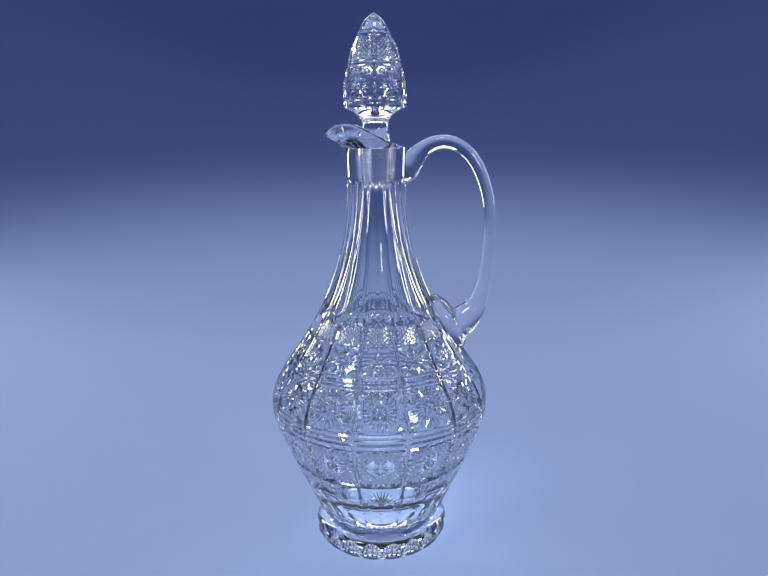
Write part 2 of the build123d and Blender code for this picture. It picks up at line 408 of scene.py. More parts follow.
    def mesh(self):
        """Gives the tile's points as (angle, distance, depth), its triangles, and how ground each one is."""
        flat = [Vector((a * self.unit, s)) for a, s, _ in self.points]
        out, _, faces, origins, _, _ = delaunay_2d_cdt(
            flat, sorted(self.lines), [], TRIANGLES_WITH_HULL, TRIANGLE_ROUNDING, True)
        depths = [self.points[o[0]][2] if o else None for o in origins]
        for i, depth in enumerate(depths):
            if depth is None:
                near = [depths[v] for f in faces if i in f for v in f if depths[v] is not None]
                depths[i] = sum(near) / max(1, len(near))
        table = np.array([(p.x / self.unit, p.y, d) for p, d in zip(out, depths)])
        hatched = [bool(o) and o[0] in self.ground for o in origins]
        faces = [tuple(f) for f in faces if not self.on_border(table[list(f)])]
        return table, faces, [self.grinding(table[list(f)], all(hatched[v] for v in f)) for f in faces]

    def on_border(self, corners):
        """Whether all of a triangle lies on one border of the tile, where rounding lets the hull bulge."""
        borders = ((0, self.left), (0, self.right), (1, self.bottom), (1, self.top))
        return any(np.abs(corners[:, axis] - place).max() < BORDER_REACH for axis, place in borders)

    def grinding(self, corners, hatched):
        """How much a face keeps of the wheel's grey: all in hatch, less in hubs and cuts, none elsewhere."""
        if hatched:
            return HATCH_GREY
        angle, along, depth = corners.mean(0)
        if any(math.hypot((angle - a) * self.meridian.radius(s), along - s) < reach
               for a, s, reach in self.ground_discs):
            return HUB_GREY
        return FACET_GREY if depth > FACET_LEVEL else 0.0


def ring_rows(rows, angles):
    """Turned rows as points: each row holds one (radius, height) pair, or a pair for each column."""
    placed = []
    for radius, height in rows:
        radius = np.broadcast_to(radius, angles.shape)
        height = np.broadcast_to(height, angles.shape)
        placed.append(np.stack((radius * np.cos(angles), radius * np.sin(angles), height), axis=-1))
    return placed


class Builder:
    """Gathers points and faces in millimetres, and makes a closed mesh object of them in metres."""

    def __init__(self):
        self.points, self.faces, self.ground = [], [], []

    def add(self, points, faces, ground=None):
        """Adds points with the faces between them, polished unless told how ground they are."""
        base = len(self.points)
        self.points.extend(tuple(float(c) for c in p) for p in points)
        self.faces.extend(tuple(base + i for i in f) for f in faces)
        self.ground.extend(ground or [0.0] * len(faces))

    def strips(self, rows):
        """Bands of quads between rows that close on themselves."""
        count = len(rows[0])
        faces = []
        for r in range(len(rows) - 1):
            for c in range(count):
                d = (c + 1) % count
                faces.append((r * count + c, r * count + d, (r + 1) * count + d, (r + 1) * count + c))
        self.add(np.concatenate(rows), faces)

    def cap(self, row, centre):
        """A fan from a closed row to a point on the axis."""
        count = len(row)
        self.add([*row, centre], [(c, (c + 1) % count, count) for c in range(count)])

    def tile(self, meridian, tile, turns):
        """A cut tile, laid round the body at each turn."""
        table, faces, ground = tile
        for turn in turns:
            self.add(meridian.place(table[:, 0] + turn, table[:, 1], table[:, 2]), faces, ground)

    def object(self, name):
        """Makes the object: points merged, faces outward, and creases sharp where the cuts turn."""
        mesh = bpy.data.meshes.new(name)
        mesh.from_pydata([tuple(c * MM for c in p) for p in self.points], [], self.faces)
        mesh.attributes.new("ground", "FLOAT", "FACE").data.foreach_set("value", self.ground)
        shape = bmesh.new()
        shape.from_mesh(mesh)
        bmesh.ops.remove_doubles(shape, verts=shape.verts, dist=MERGE_DISTANCE * MM)
        bmesh.ops.recalc_face_normals(shape, faces=shape.faces)
        shape.to_mesh(mesh)
        shape.free()
        made = bpy.data.objects.new(name, mesh)
        bpy.context.scene.collection.objects.link(made)
        finish_shading(made, CUT_CREASE)
        return made


def deselect_all():
    """Leaves no object selected."""
    for other in bpy.context.view_layer.objects:
        other.select_set(False)


def select_only(thing):
    """Makes one object the only selected one, and the active one."""
    deselect_all()
    thing.select_set(True)
    bpy.context.view_layer.objects.active = thing


def finish_shading(made, sharp):
    """Smooth shading that keeps every crease over the given angle."""
    select_only(made)
    bpy.ops.object.shade_smooth_by_angle(angle=sharp)
    made.select_set(False)


# Vessel

VESSEL = Meridian(VESSEL_OUTLINE)
HALF_PANEL = math.pi / PANELS
COLUMN = 2 * math.pi / COLUMNS
ANGLES = np.arange(COLUMNS) * COLUMN
MITRE = (MITRE_WIDTH, MITRE_DEPTH)

# Heights of the bands and rings, turned into distances along the wall
BAND = {name: VESSEL.at_height(z) for name, z in dict(
    tile_bottom=TILE_BOTTOM, mitre_bottom=43.0, fan_base=46.0, ring_a=63.0, button=78.0, ring_b=92.5,
    groove_1=96.5, groove_2=99.5, ring_c=102.5, ring_d=126.0, groove_3=128.0, ring_e=131.0, ring_f=146.5,
    mitre_top=158.0, tile_top=TILE_TOP).items()}
RINGS = tuple(along for name, along in BAND.items() if name.startswith(("ring", "groove")))


def mitre_stations(low, high, rings):
    """Distances along a mitre: its ends, the rings' edges and middles, and steps between them."""
    marks = sorted({low, high, *[r + k * RING_WIDTH / 2 for r in rings for k in (-1, 0, 1)]})
    stations = [marks[0]]
    for mark in marks[1:]:
        start = stations[-1]
        parts = max(1, round((mark - start) / STATION_STEP))
        stations.extend(start + (mark - start) * k / parts for k in range(1, parts + 1))
    return [round(s, STATION_DIGITS) for s in stations]


def outside(angle, along, reach, radius):
    """A test that keeps hatch out of a circle on a wall of the given radius."""
    def keep(a, s):
        return math.hypot((a - angle) * radius, s - along) > reach
    return keep


def panel_edge(along):
    """Half the angle that hatch may fill on a panel, at a distance along the wall."""
    return HALF_PANEL - (MITRE_WIDTH / 2 + PANEL_MARGIN) / VESSEL.radius(along)


def cut_stars(tile, angle, along, *stars):
    """Stars round one centre, each given as its reach, rays, share of the set depth and hub."""
    for reach, rays, share, hub in stars:
        tile.star(angle, along, reach, rays, size("star_depth") * share, hub)


def cut_low_bands(tile, centre):
    """The bowl's bands under its widest line, on one panel: a fan, and a button in hatch."""
    base, ring_a, button, ring_b = (BAND[name] for name in ("fan_base", "ring_a", "button", "ring_b"))
    coarse_hatch = size("hatch_pitch"), size("hatch_depth")
    fan_reach = ring_a - base - BAND_GAP
    edge = panel_edge(base)
    narrow = (edge * VESSEL.radius(base) - FAN_MARGIN) / fan_reach
    tile.star(centre, base, fan_reach, FAN_RAYS, size("star_depth"), FAN_HUB, FAN_START, FAN_SWEEP, narrow)
    keep = outside(centre, base, fan_reach + FAN_CLEARANCE, VESSEL.radius(base) / narrow)
    tile.hatch(centre - edge, centre + edge, base, ring_a - BAND_GAP, *coarse_hatch, keep)
    cut_stars(tile, centre, button, BUTTON)
    keep = outside(centre, button, BUTTON[0] + HATCH_CLEARANCE, VESSEL.radius(button))
    edge = panel_edge(ring_a)
    tile.hatch(centre - edge, centre + edge, ring_a + BAND_GAP, ring_b - BAND_GAP, *coarse_hatch, keep)


def cut_flower(tile, low, high, gap, petals, heart, disc, clearance):
    """Between two rings, a star with a smaller one in its ground hub, and fine hatch in its corners."""
    middle = (low + high) / 2
    reach = (high - low) / 2 - gap + TIP_REACH
    cut_stars(tile, 0.0, middle, (reach, *petals), heart)
    tile.ground_discs.append((0.0, middle, disc))
    keep = outside(0.0, middle, reach + clearance, VESSEL.radius(middle))
    edge = panel_edge(high)
    tile.hatch(-edge, edge, low + gap, high - gap, *FINE_HATCH, keep)


def bowl_tile(half_width):
    """A stretch of the bowl's wall with its borders and the mitres at its sides."""
    tile = CutTile(VESSEL, -half_width, half_width, BAND["tile_bottom"], BAND["tile_top"], BOWL_UNIT)
    tile.frame(COLUMN)
    stations = mitre_stations(BAND["mitre_bottom"], BAND["mitre_top"], RINGS)
    for side in (-1, 1):
        tile.mitre(side * half_width, stations, RINGS, *MITRE, sides=(-side,))
    return tile


def plain_panel():
    """One full panel of the bowl's pattern."""
    tile = bowl_tile(HALF_PANEL)
    for along in RINGS:
        tile.ring(along, RING_WIDTH, RING_DEPTH, -HALF_PANEL, HALF_PANEL, MITRE, COLUMN)
    cut_low_bands(tile, 0.0)
    cut_flower(tile, BAND["ring_c"], BAND["ring_d"], **STAR)
    cut_flower(tile, BAND["ring_e"], BAND["ring_f"], **ROSETTE)
    edge = panel_edge(BAND["mitre_top"])
    tile.hatch(-edge, edge, BAND["ring_f"] + SHOULDER_GAP, BAND["mitre_top"] - HATCH_END, *FINE_HATCH)
    tile.fill(*BOWL_FILL)
    return tile.mesh()


def cut_palm(tile, root, reach, radius):
    """A palm of long flutes that spreads down from its root, under the handle's pad."""
    def spot(share, direction, level):
        side = reach * PALM_WIDTH * math.sin(direction) * (share - PALM_CURL * share ** 2)
        fall = reach * (math.cos(direction) * share * (1 - share * PALM_DROOP) + share ** 2 * PALM_DROOP)
        return tile.point(side / radius, root - fall, level)

    for k in range(PALM_FLUTES + 1):
        direction = -PALM_SPREAD + 2 * PALM_SPREAD * k / PALM_FLUTES
        tile.line(*[spot(share, direction, 0.0) for share in (*PALM_SHARES, PALM_RIDGE_END)])
    for k in range(PALM_FLUTES):
        direction = -PALM_SPREAD + 2 * PALM_SPREAD * (k + 0.5) / PALM_FLUTES
        valley = [spot(share, direction, depth) for share, depth in zip(PALM_SHARES, PALM_DEPTHS)]
        end = spot(1.0, direction, 0.0)
        tile.line(*valley, end)
        for edge in (direction - PALM_SPREAD / PALM_FLUTES, direction + PALM_SPREAD / PALM_FLUTES):
            tile.line(spot(PALM_RIDGE_END, edge, 0.0), end)
            tile.line(spot(PALM_SHARES[0], edge, 0.0), valley[0])


def leaf_panels():
    """The two panels beside the handle: the low bands, and over them a palm of flutes in hatch."""
    tile = bowl_tile(2 * HALF_PANEL)
    low_rings = [ring for ring in RINGS if ring < BAND["ring_c"]]
    low_end = BAND["groove_2"] + RING_WIDTH / 2
    middle = mitre_stations(BAND["mitre_bottom"], low_end + PALM_MITRE_END, low_rings)
    tile.mitre(0.0, middle, low_rings, *MITRE)
    for along in low_rings:
        tile.ring(along, RING_WIDTH, RING_DEPTH, -2 * HALF_PANEL, 0.0, MITRE, COLUMN)
        tile.ring(along, RING_WIDTH, RING_DEPTH, 0.0, 2 * HALF_PANEL, MITRE, COLUMN)
    for centre in (-HALF_PANEL, HALF_PANEL):
        cut_low_bands(tile, centre)
    root = VESSEL.at_height(PALM_ROOT)
    radius = VESSEL.radius(VESSEL.at_height(PALM_MIDDLE))
    reach = root - BAND["ring_c"] - PALM_END
    cut_palm(tile, root, reach, radius)
    limit = 2 * HALF_PANEL - (MITRE_WIDTH / 2 + LEAF_MARGIN) / VESSEL.radius(BAND["ring_f"])

    def beside(angle, along):
        share = (root - along) / reach
        side = abs(angle) * radius / reach / PALM_WIDTH
        palm = math.sin(PALM_SPREAD) * (share - PALM_CURL * share ** 2)
        clear_of_palm = share < PALM_TOP or side > palm + PALM_CLEARANCE + PALM_CLEARANCE_GROWTH * share
        clear_of_pad = abs(angle) * VESSEL.radius(along) > PAD_CLEARANCE or along < VESSEL.at_height(PAD_LOW)
        return clear_of_palm and clear_of_pad

    tile.hatch(-limit, limit, low_end + PALM_HATCH_START, BAND["mitre_top"] - HATCH_END,
               size("hatch_pitch"), size("hatch_depth"), beside)
    tile.fill(*BOWL_FILL)
    return tile.mesh()


# A flute's lower end as the round wheel leaves it, as (multiple of the run, share of the flute's depth)
RUN_IN = ((0.0, 0.0), (0.5, 0.42), (1.05, 0.70), (1.7, 0.88), (2.5, 0.97), (3.4, 1.0))
BASE_FLUTES = dict(low=20.5, high=41.0, run=1.6, flutes=28, depth=0.028, scallop=2.2, steps=4)
NECK_FLUTES = dict(low=161.5, high=243.0, run=1.7, flutes=20, depth=0.045, scallop=3.2, steps=12)
SCALLOP_FADE = 1.6


def flute_rows(low, high, run, flutes, depth, scallop, steps):
    """Rows of hollow flutes between two heights, with scalloped ends and a depth in shares of the radius."""
    share = ANGLES * flutes / (2 * math.pi) % 1.0
    across = np.abs(share * 2 - 1)
    across[np.isclose(across, 1.0)] = 1.0
    arch = scallop * across ** 2
    hollow = 1 - across ** 2
    rows = []
    start = low + RUN_IN[-1][0] * run
    rise = (high - run - scallop - start) / steps
    heights = [(low + run * height, cut) for height, cut in RUN_IN]
    heights += [(start + rise * k, 1.0) for k in range(1, steps)]
    for height, cut in heights:
        ease = max(0.0, 1 - (height - low) / (high - low) * SCALLOP_FADE)
        rows.append((height + arch * ease, hollow * cut * depth))
    rows.append((high - run - arch, hollow * depth))
    rows.append((high - arch, 0.0))
    return rows


def wall_rows(rows):
    """Rows of (height, depth) on the vessel's outer wall, as points."""
    placed = []
    for height, depth in rows:
        height = np.broadcast_to(height, ANGLES.shape)
        along = np.interp(height, VESSEL.points[:, 1], VESSEL.along)
        scale = np.interp(along, VESSEL.along, VESSEL.points[:, 0])
        placed.append(VESSEL.place(ANGLES, along, np.broadcast_to(depth, ANGLES.shape) * scale))
    return placed


def lip_radius(table, height, angles):
    """The lip's radius at each angle: round at the back, drawn out to the spout at -X."""
    heights, widths, reaches = np.array(table).T
    width = np.interp(height, heights, widths)
    reach = np.interp(height, heights, reaches)
    return width + (reach - width) * np.clip(-np.cos(angles), 0, 1) ** LIP_SHARPNESS


RIM_CURVE = spline(RIM_LINE, RIM_SAMPLES)


def rim_heights(angles):
    """The height of the rim at each angle, where the lip's outside meets the rim line."""
    height = np.full(angles.shape, RIM_GUESS)
    for _ in range(RIM_PASSES):
        x = lip_radius(LIP_OUTSIDE, height, angles) * np.cos(angles)
        height = 0.5 * height + 0.5 * np.interp(x, RIM_CURVE[:, 0], RIM_CURVE[:, 1])
    return height


def lip_rows():
    """Rows up the outside of the lip, over its rounded rim and down its mouth to the ground seat."""
    top = rim_heights(ANGLES)
    rows = []
    for share in LIP_SHARES:
        height = NECK_TOP_HEIGHT + (top - RIM_ROUNDING - NECK_TOP_HEIGHT) * share
        rows.append((lip_radius(LIP_OUTSIDE, height, ANGLES), height))
    outer = lip_radius(LIP_OUTSIDE, top - RIM_ROUNDING, ANGLES)
    inner = lip_radius(LIP_INSIDE, np.maximum(top - RIM_ROUNDING, SEAT_TOP_HEIGHT), ANGLES)
    for turn in np.linspace(0, math.pi, RIM_STEPS)[1:-1]:
        across = (1 - math.cos(turn)) / 2
        rows.append((outer + (inner - outer) * across, top - RIM_ROUNDING * (1 - math.sin(turn))))
    for share in MOUTH_SHARES:
        height = top - RIM_ROUNDING + (SEAT_TOP_HEIGHT - top + RIM_ROUNDING) * share
        floor = np.maximum(height, SEAT_TOP_HEIGHT)
        rows.append((lip_radius(LIP_INSIDE, floor, ANGLES), height))
    return rows


def build_vessel():
    """The blown vessel: cut bowl, fluted neck and poured lip outside, smooth wall inside."""
    made = Builder()
    low = wall_rows([(FOOT_TOP, 0.0), (BASE_COLLAR, 0.0), *flute_rows(**BASE_FLUTES), (TILE_BOTTOM, 0.0)])
    made.cap(low[0], (0.0, 0.0, FOOT_TOP))
    made.strips(low)
    made.tile(VESSEL, plain_panel(), [HALF_PANEL * (2 * k + 1) for k in range(1, PANELS - 1)])
    made.tile(VESSEL, leaf_panels(), [0.0])
    collar = [(NECK_TOP_HEIGHT - drop, 0.0) for drop in NECK_COLLAR]
    rows = wall_rows([(TILE_TOP, 0.0), *flute_rows(**NECK_FLUTES), *collar])
    inside = [tuple(point) for point in spline(HOLLOW_OUTLINE, HOLLOW_ROWS)[::-1][1:]]
    inside += [(radius, FLOOR_HEIGHT) for radius in FLOOR_RADII]
    rows += ring_rows([*lip_rows(), *SEAT_OUTLINE, *inside], ANGLES)
    made.strips(rows)
    made.cap(rows[-1], (0.0, 0.0, FLOOR_HEIGHT))
    vessel = made.object("cut_vessel")
    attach(vessel, "decanter")
    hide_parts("vessel")
    return vessel


# Foot, in millimetres: each window is a stretched ball's hollow, and a low step on top meets the bowl
FOOT_RIM_RADIUS = 45.45
FOOT_OUTLINE = ((43.2, 0.0), (44.9, 2.4), (FOOT_RIM_RADIUS, 6.2), (44.0, 11.0), (BOWL_BASE_RADIUS, FOOT_TOP))
FOOT_ROWS = 30
WINDOWS = 20
WINDOW_RADIUS = 13.0
WINDOW_DEPTH = 2.3
WINDOW_STRETCH = 2.3
WINDOW_HEIGHT = 5.2
WINDOW_COLUMNS = 12
WINDOW_SEAM = 1e-7
UNDERSIDE_RISE = 1.6
UNDERSIDE_OUTLINE = (
    (12.0, UNDERSIDE_RISE * 0.9),
    (24.0, UNDERSIDE_RISE * 0.65),
    (33.0, UNDERSIDE_RISE * 0.35),
    (38.2, 0.1),
    (38.8, 0.0),
)
STEP_TOP = FOOT_TOP + 0.2
STEP_OUTLINE = ((BOWL_BASE_RADIUS - 0.6, FOOT_TOP), (BOWL_BASE_RADIUS - 0.9, STEP_TOP), (20.0, STEP_TOP))


def window_ball(height):
    """How far a window's ball is centred from the axis, and its unstretched rise to a height."""
    return FOOT_RIM_RADIUS - size("window_depth") + WINDOW_RADIUS, (height - WINDOW_HEIGHT) / WINDOW_STRETCH


def window_edge(radius, height):
    """The half angle at which a window's hollow leaves the rim at a height, or zero where there is none."""
    centre, rise = window_ball(height)
    rest = (centre ** 2 + radius ** 2 + rise ** 2 - WINDOW_RADIUS ** 2) / (2 * centre * radius)
    return math.acos(min(1.0, rest))


def window_radius(angle, height):
    """The radius of a window's hollow face at an angle from its middle."""
    centre, rise = window_ball(height)
    inside = WINDOW_RADIUS ** 2 - (centre * math.sin(angle)) ** 2 - rise ** 2
    return centre * math.cos(angle) - math.sqrt(max(0.0, inside))


def build_foot():
    """The applied foot: a thick disc with a ring of hollow windows cut round its rim."""
    made = Builder()
    half = math.pi / WINDOWS
    rows = []
    for radius, height in spline(FOOT_OUTLINE, FOOT_ROWS):
        edge = min(window_edge(radius, height), half)
        row = []
        for window in range(WINDOWS):
            middle = half * (2 * window + 1)
            for k in range(WINDOW_COLUMNS + 1):
                angle = edge * (2 * k / WINDOW_COLUMNS - 1)
                r = min(radius, window_radius(angle, height)) if edge > 0 else radius
                row.append((r * math.cos(middle + angle), r * math.sin(middle + angle), height))
            for angle in (edge + (half - edge) * 0.5, half - WINDOW_SEAM):
                row.append((radius * math.cos(middle + angle), radius * math.sin(middle + angle), height))
        rows.append(np.array(row))
    under = ring_rows(UNDERSIDE_OUTLINE, np.arctan2(rows[0][:, 1], rows[0][:, 0]))
    step = ring_rows(STEP_OUTLINE, np.arctan2(rows[-1][:, 1], rows[-1][:, 0]))
    rows = under + rows + step
    made.cap(rows[0], (0.0, 0.0, UNDERSIDE_RISE))
    made.strips(rows)
    made.cap(rows[-1], (0.0, 0.0, STEP_TOP))
    foot = made.object("applied_foot")
    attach(foot, "decanter")
    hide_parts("foot")
    return foot


# Stopper, in millimetres
PLUG_BOTTOM = 238.0
PLUG_OUTLINE = ((3.0, PLUG_BOTTOM), (5.8, PLUG_BOTTOM), (7.25, 239.6), (7.9, 250.5), (8.55, 262.0),
                (9.1, 266.6))
HEAD_BASE = 285.5
HEAD_SIDE = 286.5
WAIST_OUTLINE = ((9.4, 268.0), (8.0, 274.0), (9.3, 279.5), (18.4, HEAD_BASE))
WAIST_ROWS = 20
HEAD_CORNER = ((19.05, HEAD_BASE + 0.35), (19.35, HEAD_SIDE))
HEAD_OUTLINE = ((19.4, HEAD_SIDE), (19.4, 293.0), (17.3, 307.0), (14.2, 319.0), (9.0, 330.0), (5.2, 336.0),
                (0.0, 339.9))
HEAD = Meridian(HEAD_OUTLINE)
HEAD_START = 0.3
HEAD_START_ROWS = 3
CROWN_END = 0.4
CROWN_ROWS = 9
HEAD_PANELS = 6
HEAD_COLUMNS = 84
HEAD_ANGLES = np.arange(HEAD_COLUMNS) * 2 * math.pi / HEAD_COLUMNS

# Cuts of the stopper's head, in millimetres, its bands as distances along the wall
HEAD_BAND = {name: HEAD.at_height(z) for name, z in dict(
    low=287.6, bottom=289.0, button=298.0, ring_a=309.0, ring_b=311.6, ring_c=327.0, top=329.5,
    high=331.0).items()}
HEAD_MITRE = (2.0, 0.8)
HEAD_RING = (1.5, 0.55)

# Stars of the head, as reach, rays, depth and hub
HEAD_STAR = (7.2, 14, 0.9, 2.6)
HEAD_HEART = (2.2, 6, 0.5, 0.4)
HEAD_HATCH = (1.3, 0.7)
HEAD_MARGIN = 1.5
HEAD_GAP = 1.1
HEAD_CLEARANCE = 0.6
HEAD_UNIT = 15.0
HEAD_FILL = (1.6, 0.6)


def head_tile():
    """One of the six panels of the stopper's head."""
    half = math.pi / HEAD_PANELS
    step = 2 * math.pi / HEAD_COLUMNS
    button, ring_a, ring_b, ring_c = (HEAD_BAND[name] for name in ("button", "ring_a", "ring_b", "ring_c"))
    rings = (ring_a, ring_b, ring_c)
    tile = CutTile(HEAD, -half, half, HEAD_BAND["low"], HEAD_BAND["high"], HEAD_UNIT)
    tile.frame(step)
    stations = mitre_stations(HEAD_BAND["bottom"], HEAD_BAND["top"], rings)
    for side in (-1, 1):
        tile.mitre(side * half, stations, rings, *HEAD_MITRE, sides=(-side,))
    for along in rings:
        tile.ring(along, *HEAD_RING, -half, half, HEAD_MITRE, step)
    tile.star(0.0, button, *HEAD_STAR)
    tile.star(0.0, button, *HEAD_HEART)
    edge = half - HEAD_MARGIN / HEAD.radius(button)
    keep = outside(0.0, button, HEAD_STAR[0] + HEAD_CLEARANCE, HEAD.radius(button))
    tile.hatch(-edge, edge, HEAD_BAND["bottom"], ring_a - HEAD_GAP, *HEAD_HATCH, keep)
    edge = half - HEAD_MARGIN / HEAD.radius(ring_c)
    tile.hatch(-edge, edge, ring_b + HEAD_GAP, ring_c - HEAD_GAP, *HEAD_HATCH)
    tile.fill(*HEAD_FILL)
    return tile.mesh()


def build_stopper():
    """The loose stopper: a solid cut head, a waist and a ground plug."""
    made = Builder()
    profile = [*PLUG_OUTLINE, *spline(WAIST_OUTLINE, WAIST_ROWS), *HEAD_CORNER]
    side = np.linspace(HEAD_START, HEAD_BAND["low"], HEAD_START_ROWS)
    rows = ring_rows(profile, HEAD_ANGLES) + [HEAD.place(HEAD_ANGLES, along, 0.0) for along in side]
    made.cap(rows[0], (0.0, 0.0, PLUG_BOTTOM))
    made.strips(rows)
    step = 2 * math.pi / HEAD_PANELS
    made.tile(HEAD, head_tile(), [step * (k + 0.5) - math.pi / 2 for k in range(HEAD_PANELS)])
    up_crown = np.linspace(HEAD_BAND["high"], HEAD.along[-1] - CROWN_END, CROWN_ROWS)
    crown = [HEAD.place(HEAD_ANGLES, along, 0.0) for along in up_crown]
    made.strips(crown)
    made.cap(crown[-1], (0.0, 0.0, HEAD_OUTLINE[-1][1]))
    stopper = made.object("ground_stopper")
    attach(stopper, "stopper")
    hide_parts("stopper")
    return stopper


# Handle, its stations as (x, height, half depth, half width) in millimetres
HANDLE_STATIONS = (
    (8.0, 247.5, 10.4, 7.2),
    (17.6, 249.2, 9.6, 6.8),
    (22.5, 253.4, 7.6, 5.9),
    (29.0, 260.2, 5.2, 5.0),
    (41.5, 265.0, 4.35, 4.6),
    (55.5, 260.0, 4.15, 4.5),
    (66.0, 245.0, 3.95, 4.5),
    (72.0, 220.0, 3.85, 4.5),
    (71.6, 195.0, 4.1, 4.7),
    (69.2, 176.0, 4.8, 5.4),
    (65.4, 162.5, 6.3, 6.8),
    (58.0, 151.5, 9.4, 8.8),
    (47.0, 144.0, 11.0, 9.8),
)
HANDLE_ROWS = 90
HANDLE_SIDES = 28
HANDLE_VOXEL = 0.65
HANDLE_CREASE = math.radians(40)
PAD_TOP_HEIGHT = 167.0
PAD_BOTTOM_HEIGHT = 131.0
PAD_WIDTH = 22.8
PAD_HALF_THICKNESS = 8.6
WELD_DEPTH = 0.25
CORE_ROWS = 90
CORE_LIP = (261.0, 265.0, 268.6)


def apply_modifier(thing, kind, **values):
    """Adds a modifier with its values and applies it."""
    select_only(thing)
    modifier = thing.modifiers.new(kind.lower(), kind)
    for name, value in values.items():
        setattr(modifier, name, value)
    bpy.ops.object.modifier_apply(modifier=modifier.name)


def vessel_core():
    """The vessel's outer form, a weld's depth smaller and solid, for cutting the handle's ends."""
    core = Builder()
    wall = [(r - WELD_DEPTH, z) for r, z in spline(VESSEL_OUTLINE, CORE_ROWS)]
    lip = [(lip_radius(LIP_OUTSIDE, height, ANGLES) - WELD_DEPTH, height) for height in CORE_LIP]
    rows = ring_rows(wall + lip, ANGLES)
    core.cap(rows[0], (0.0, 0.0, FOOT_TOP))
    core.strips(rows)
    core.cap(rows[-1], (0.0, 0.0, CORE_LIP[-1]))
    return core.object("vessel_core")


def handle_bar():
    """The handle's round bar, lofted through its stations."""
    table = spline(HANDLE_STATIONS, HANDLE_ROWS)
    path = table[:, :2]
    slope = np.gradient(path, axis=0)
    slope /= np.linalg.norm(slope, axis=1)[:, None]
    turns = np.arange(HANDLE_SIDES) * 2 * math.pi / HANDLE_SIDES
    bar = Builder()
    rows = []
    for (x, z), (dx, dz), (deep, wide) in zip(path, slope, table[:, 2:]):
        along = deep * np.cos(turns)
        rows.append(np.stack((x - dz * along, wide * np.sin(turns), z + dx * along), axis=-1))
    bar.strips(rows)
    for row, (x, z) in ((rows[0], path[0]), (rows[-1], path[-1])):
        bar.cap(row, (x, 0.0, z))
    return bar.object("handle_bar")


def build_handle():
    """The applied handle: a bar and a pad of hot glass run together, pressed on the vessel."""
    handle = handle_bar()
    x0, z0 = VESSEL.radius(VESSEL.at_height(PAD_BOTTOM_HEIGHT)), PAD_BOTTOM_HEIGHT
    x1, z1 = VESSEL.radius(VESSEL.at_height(PAD_TOP_HEIGHT)), PAD_TOP_HEIGHT
    deselect_all()
    bpy.ops.mesh.primitive_uv_sphere_add(
        segments=48, ring_count=24, radius=1.0,
        location=((x0 + x1) / 2 * MM, 0, (z0 + z1) / 2 * MM),
        rotation=(0, math.atan2(x1 - x0, z1 - z0), 0),
        scale=(PAD_HALF_THICKNESS * MM, size("pad_width") / 2 * MM, math.hypot(x1 - x0, z1 - z0) / 2 * MM))
    pad = bpy.context.active_object
    bpy.ops.object.transform_apply(location=True, rotation=True, scale=True)
    select_only(handle)
    pad.select_set(True)
    bpy.ops.object.join()
    apply_modifier(handle, "REMESH", mode="VOXEL", voxel_size=HANDLE_VOXEL * MM)
    apply_modifier(handle, "SMOOTH", factor=0.5, iterations=14)
    core = vessel_core()
    apply_modifier(handle, "BOOLEAN", operation="DIFFERENCE", solver="EXACT", object=core)
    bpy.data.objects.remove(core)
    handle.name = "loop_handle"
    finish_shading(handle, HANDLE_CREASE)
    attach(handle, "decanter")
    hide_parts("handle")
    return handle


# Materials: roughness of polished glass, hatch and the ground seat, each with what haze adds to it
POLISHED = 0.004
POLISHED_HAZE = 0.03
HAZE_POWER = 3.0
HATCHED = 0.03
HATCHED_HAZE = 0.07
SEATED = 0.10
SEATED_HAZE = 0.1
SEAT_REACH = 9.3

# Metallic share of cuts, for the light thrown back inside them, and what the glass lets through to lamps
SHIMMER = 0.42
CUT_LAMP_PASS = (0.90, 0.93, 0.97)
CLEAR_LAMP_PASS = (0.97, 0.98, 0.99)


class Wire:
    """A shader socket that takes part in Python expressions, each adding its Math node."""

    def __init__(self, graph, socket):
        self.graph, self.socket = graph, socket

    def _math(self, operation, first, second):
        return self.graph.add("ShaderNodeMath", {"operation": operation}, {0: first, 1: second})

    def __add__(self, other):
        return self._math("ADD", self, other)

    def __radd__(self, other):
        return self._math("ADD", other, self)

    def __mul__(self, other):
        return self._math("MULTIPLY", self, other)

    def __rmul__(self, other):
        return self._math("MULTIPLY", other, self)

    def __pow__(self, other):
        return self._math("POWER", self, other)

    def __gt__(self, other):
        return self._math("GREATER_THAN", self, other)

    def __lt__(self, other):
        return self._math("LESS_THAN", self, other)


class Graph:
    """The nodes of one material."""

    def __init__(self, name):
        self.material = bpy.data.materials.new(name)
        self.material.use_nodes = True
        self.tree = self.material.node_tree
        self.shader = self.tree.nodes["Principled BSDF"]

    def add(self, kind, settings=None, inputs=None, output=0):
        """Adds a node: its settings first, then the values or links of its sockets."""
        node = self.tree.nodes.new(kind)
        for name, value in (settings or {}).items():
            setattr(node, name, value)
        for name, value in (inputs or {}).items():
            self.feed(node.inputs[name], value)
        return Wire(self, node.outputs[output])

    def feed(self, socket, value):
        """Links a wire to a socket, or sets its value."""
        if isinstance(value, Wire):
            self.tree.links.new(value.socket, socket)
        else:
            socket.default_value = value

    def axes(self, vector):
        """A vector's X, Y and Z."""
        split = self.add("ShaderNodeSeparateXYZ", inputs={0: vector}).socket.node
        return [Wire(self, output) for output in split.outputs]

    def mix(self, factor, first, second):
        """A colour between two others."""
        return self.add("ShaderNodeMix", {"data_type": "RGBA"}, {0: factor, 6: first, 7: second}, 2)


